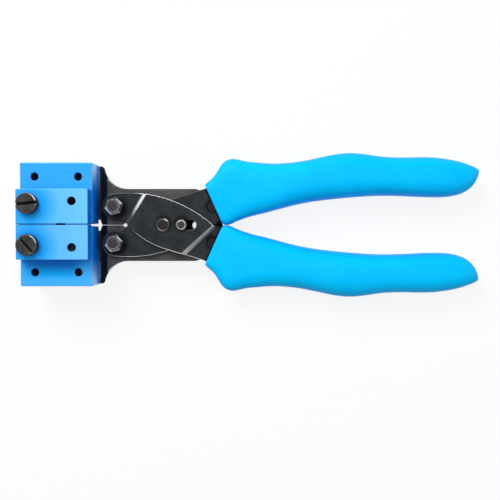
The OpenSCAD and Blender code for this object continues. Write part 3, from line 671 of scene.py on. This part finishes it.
# Rows from the mouth to the tip: outer edge, inner edge, fullness and squareness. Edges are
# millimetres behind the guide pins and above the centre line.
GRIP_ROWS = [
    (-4, 20.4, 5.1, 0.13, 0.84, 6),
    (0.3, 23.9, 7.6, 0.05, 0.87, 5.5),
    (2.7, 27.6, 9.7, 0.8, 0.9, 5),
    (4.6, 30.7, 11.6, 1.7, 0.93, 4.6),
    (7.2, 32.8, 13.8, 2.55, 0.95, 4.2),
    (11, 33.4, 17, 3.7, 0.97, 3.8),
    (16.4, 32.1, 21.6, 5, 0.99, 3.4),
    (22.5, 31.6, 27, 6.2, 1, 3.1),
    (32.1, 31, 36.1, 8.7, 1, 2.8),
    (46.6, 32.5, 48.6, 11.6, 1, 2.6),
    (67, 36.8, 67.6, 13.8, 1, 2.6),
    (83.5, 34.7, 83.1, 14.8, 0.99, 2.6),
    (95.6, 34.1, 94.6, 14.7, 0.97, 2.6),
    (109.6, 34.4, 107.6, 14.1, 0.95, 2.6),
    (122.1, 32.7, 119.1, 14.2, 0.9, 2.5),
    (129, 30.6, 127.4, 16.5, 0.76, 2.4),
    (133, 29.1, 132.2, 20.9, 0.48, 2.2),
    (134.7, 28.1, 134.5, 26, 0.15, 2),
]
GRIP_SIDES = 32
GRIP_STEPS = 2
GRIP_LOW, GRIP_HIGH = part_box("upper_grip")
GRIP_HALF_T = (GRIP_HIGH.z - GRIP_LOW.z) / 2 / MM
SMOOTH_LEVELS = 2

# Mouth, in millimetres: the pocket for the lever plates, and the steps of the lip, each as how far it
# is cut back from the edge and how far behind the front it lies
INWARD = Vector((1, 0.42))
POCKET_HALF_T = 6.2
POCKET_WALL = 1.2
POCKET_DEPTHS = [12, 6, 0.6, 0.15]
POCKET_SQUARENESS = 9
LIP_STEPS = [(0.7, 0), (0.35, 0), (0, 0.3)]
LIP_SQUARENESS = 6

# Room in the mouth for the toe of the opening jaw, as in the solid grip: millimetres behind the guide
# pins and above the centre line, and the half height of the room
TOE_ROOM = [(3.8, -1), (7.2, -1), (7.2, 0.15), (6.4, 0.7), (4.8, 1.5), (3.8, 1.8)]
TOE_ROOM_HALF = 3.1
SHARP_EDGE = math.radians(35)


def through(a, b, c, d, t):
    """Smooth curve through four neighbouring values."""
    return (2 * b + (c - a) * t + (2 * a - 5 * b + 4 * c - d) * t ** 2
            + (3 * b - a - 3 * c + d) * t ** 3) / 2


def grip_row(step):
    """Row at that step along the grip: its edges in plan, half thickness and squareness."""
    last = len(GRIP_ROWS) - 1
    index, part = divmod(step, GRIP_STEPS)
    near = [GRIP_ROWS[max(0, min(last, index + k))] for k in (-1, 0, 1, 2)]
    row = [through(*values, part / GRIP_STEPS) for values in zip(*near)]
    return Vector(row[0:2]), Vector(row[2:4]), row[4] * GRIP_HALF_T, row[5]


def oval(outer, inner, half_t, squareness):
    """Closed ring between two edge points of the plan, in millimetres."""
    ring = []
    for k in range(GRIP_SIDES):
        angle = 2 * math.pi * k / GRIP_SIDES
        across, up = (math.copysign(abs(share) ** (2 / squareness), share)
                      for share in (math.cos(angle), math.sin(angle)))
        centre = (outer + inner) / 2 + (outer - inner) / 2 * across
        ring.append(Vector((centre.x, centre.y, half_t * up)))
    return ring


def grip_rings():
    """Rings of the upper grip, from the bottom of its mouth out over the lip to its tip."""
    outer, inner, half_t, _ = grip_row(0)
    mouth = (outer - inner).normalized()

    def mouth_ring(cut, back, ring_half_t, squareness):
        """Ring in the mouth, cut back from its edges and moved into the grip."""
        shift = INWARD * back
        return oval(outer - mouth * cut + shift, inner + mouth * cut + shift, ring_half_t, squareness)

    pocket = [mouth_ring(POCKET_WALL, depth, POCKET_HALF_T, POCKET_SQUARENESS) for depth in POCKET_DEPTHS]
    lip = [mouth_ring(cut, back, half_t - cut, LIP_SQUARENESS) for cut, back in LIP_STEPS]
    steps = range(1, (len(GRIP_ROWS) - 1) * GRIP_STEPS + 1)
    return pocket + lip + [oval(*grip_row(step)) for step in steps]


def in_scene(name, data):
    """A new object in the scene."""
    obj = bpy.data.objects.new(name, data)
    bpy.context.scene.collection.objects.link(obj)
    return obj


def toe_room(side):
    """Closed prism of the room for a jaw's toe."""
    count = len(TOE_ROOM)
    points = [(GUIDE_X + x * MM, side * y * MM, MID_Z + z * MM)
              for z in (-TOE_ROOM_HALF, TOE_ROOM_HALF) for x, y in TOE_ROOM]
    faces = [tuple(range(count)), tuple(range(count, 2 * count))]
    faces += [(k, (k + 1) % count, count + (k + 1) % count, count + k) for k in range(count)]
    data = bpy.data.meshes.new("toe_room")
    data.from_pydata(points, [], faces)
    mesh = bmesh.new()
    mesh.from_mesh(data)
    bmesh.ops.recalc_face_normals(mesh, faces=mesh.faces)
    mesh.to_mesh(data)
    mesh.free()
    return in_scene("toe_room", data)


def shade_smooth(data):
    """Smooth faces, with creases along the sharp edges."""
    mesh = bmesh.new()
    mesh.from_mesh(data)
    for face in mesh.faces:
        face.smooth = True
    for edge in mesh.edges:
        edge.smooth = edge.is_manifold and edge.calc_face_angle() < SHARP_EDGE
    mesh.to_mesh(data)
    mesh.free()


def cut_toe_room(obj, side):
    """Cut the room for the jaw's toe out of a finished skin."""
    cutter = toe_room(side)
    room = obj.modifiers.new("room", "BOOLEAN")
    room.operation = "DIFFERENCE"
    room.solver = "EXACT"
    room.object = cutter
    bpy.context.view_layer.update()
    skin = bpy.data.meshes.new_from_object(obj.evaluated_get(bpy.context.evaluated_depsgraph_get()))
    obj.modifiers.clear()
    obj.data = skin
    block = cutter.data
    bpy.data.objects.remove(cutter)
    bpy.data.meshes.remove(block)
    shade_smooth(skin)


def make_grip(name, side, body):
    """A grip as one skin: side is 1 for the upper one and -1 for the lower one."""
    mesh = bmesh.new()
    rings = [[mesh.verts.new((GUIDE_X + p.x * MM, side * p.y * MM, MID_Z + p.z * MM)) for p in ring]
             for ring in grip_rings()]
    for low, high in zip(rings, rings[1:]):
        for k in range(GRIP_SIDES):
            after = (k + 1) % GRIP_SIDES
            mesh.faces.new((low[k], low[after], high[after], high[k]))
    mesh.faces.new(rings[0])
    mesh.faces.new(rings[-1])
    bmesh.ops.recalc_face_normals(mesh, faces=mesh.faces)
    for face in mesh.faces:
        face.smooth = True
    data = bpy.data.meshes.new(name)
    mesh.to_mesh(data)
    mesh.free()
    data.materials.append(VINYL)
    obj = in_scene(name, data)
    smooth = obj.modifiers.new("smooth", "SUBSURF")
    smooth.levels = SMOOTH_LEVELS
    smooth.render_levels = SMOOTH_LEVELS
    cut_toe_room(obj, side)
    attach(obj, body)
    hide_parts("upper_grip" if side > 0 else "lower_grip")


make_grip("upper_grip_skin", 1, "upper_handle")
make_grip("lower_grip_skin", -1, "lower_handle")


# Stage: white floor and surroundings, soft lamps and the camera

FLOOR_REACH = 3.0
FLOOR_DROP = 0.1 * MM
FLOOR_GLOW = 0.86
WORLD_FILL = 0.28

# Name, place, size and power of each lamp
LAMPS = [
    ("key", (-0.35, 0.5, 0.65), 0.45, 6.6),
    ("top", (0.05, 0.1, 1.0), 0.5, 2.4),
    ("side", (0.6, 0.0, 0.2), 0.3, 0.5),
]


def seen_white(tree):
    """1 for rays that show the surroundings: from the camera, a reflection or through glass."""
    rays = add_node(tree, "ShaderNodeLightPath").outputs
    return most(tree, rays["Is Camera Ray"], rays["Is Transmission Ray"], rays["Is Glossy Ray"])


def make_floor():
    """A pale floor that shows white, with a light shadow under the tool."""
    data = bpy.data.meshes.new("floor")
    corners = [(-1, -1), (1, -1), (1, 1), (-1, 1)]
    height = CAD_BOX[0][2] - FLOOR_DROP
    data.from_pydata([(x * FLOOR_REACH, y * FLOOR_REACH, height) for x, y in corners], [], [(0, 1, 2, 3)])
    floor = in_scene("floor", data)
    material, tree, shader = start_material("floor_white")
    shader.inputs["Base Color"].default_value = (0.85, 0.85, 0.85, 1)
    shader.inputs["Roughness"].default_value = 0.9
    glow = add_node(tree, "ShaderNodeEmission")
    blend = add_node(tree, "ShaderNodeMixShader")
    tree.links.new(times(tree, seen_white(tree), FLOOR_GLOW), blend.inputs[0])
    tree.links.new(shader.outputs[0], blend.inputs[1])
    tree.links.new(glow.outputs[0], blend.inputs[2])
    tree.links.new(blend.outputs[0], tree.nodes["Material Output"].inputs["Surface"])
    data.materials.append(material)


def make_world():
    """White surroundings that light the tool less strongly than they show."""
    world = bpy.data.worlds.new("studio")
    world.use_nodes = True
    tree = world.node_tree
    sky = tree.nodes["Background"]
    sky.inputs["Color"].default_value = (1, 1, 1, 1)
    strength = spread(tree, seen_white(tree), 0, 1, WORLD_FILL, 1)
    tree.links.new(strength, sky.inputs["Strength"])
    bpy.context.scene.world = world


def make_lamp(name, place, size, power):
    """A soft square lamp that faces the centre rivet."""
    lamp = bpy.data.lights.new(name, "AREA")
    lamp.size = size
    lamp.energy = power
    obj = in_scene(name, lamp)
    obj.location = place
    obj.rotation_euler = (PIVOT - Vector(place)).to_track_quat("-Z", "Y").to_euler()


def make_camera():
    """The camera, whose lens takes in the view's width at the aim."""
    camera = bpy.data.cameras.new("camera")
    sight = CAMERA_AIM - CAMERA_PLACE
    camera.sensor_width = SENSOR
    camera.lens = SENSOR * sight.length / VIEW_WIDTH
    camera.clip_start = 0.01
    obj = in_scene("camera", camera)
    obj.location = PIVOT + CAMERA_PLACE
    obj.rotation_euler.x = math.atan2(sight.y, -sight.z)
    bpy.context.scene.camera = obj


make_floor()
make_world()
for lamp_settings in LAMPS:
    make_lamp(*lamp_settings)
make_camera()
bpy.context.scene.view_settings.view_transform = "Standard"
